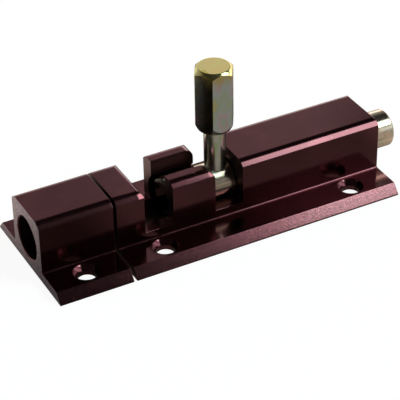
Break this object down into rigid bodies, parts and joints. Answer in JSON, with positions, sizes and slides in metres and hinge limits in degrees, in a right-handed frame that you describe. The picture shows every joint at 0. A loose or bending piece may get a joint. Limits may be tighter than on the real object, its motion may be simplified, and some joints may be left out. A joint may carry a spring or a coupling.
{
  "type": "door bolt",
  "caption": "Small surface door bolt: extruded brown case and keeper, round bolt rod, and a hexagonal handle that turns down into locking notches.",
  "frame": {"origin": "middle of the case's four screw holes, on its base plane against the door", "axes": "+X from the keeper towards the rod's rear end, so the bolt throws towards -X; +Y to the far side; +Z away from the door"},
  "size_m": [0.0828, 0.03, 0.0335],
  "materials": {
    "brown_anodised": "dark brown anodised extrusion, satin gloss",
    "plated_rod": "turned steel, zinc plated with a pale yellow tint",
    "passivated_knob": "zinc plated steel, yellow passivated with green and pink tints"
  },
  "bodies": {
    "case": {"case": "brown_anodised", "keeper": "brown_anodised"},
    "bolt": {"bolt_rod": "plated_rod"},
    "handle": {"handle_stud": "plated_rod", "knob": "passivated_knob"}
  },
  "joints": [
    {"name": "bolt_slide", "type": "slide", "parent": "case", "child": "bolt", "axis": [-1, 0, 0], "range_m": [-0.0005, 0.0169]},
    {"name": "handle_turn", "type": "hinge", "parent": "bolt", "child": "handle", "pos_m": [-0.00485, 0, 0.0067], "axis": [-1, 0, 0], "range_deg": [-87.5, 87.5]}
  ]
}
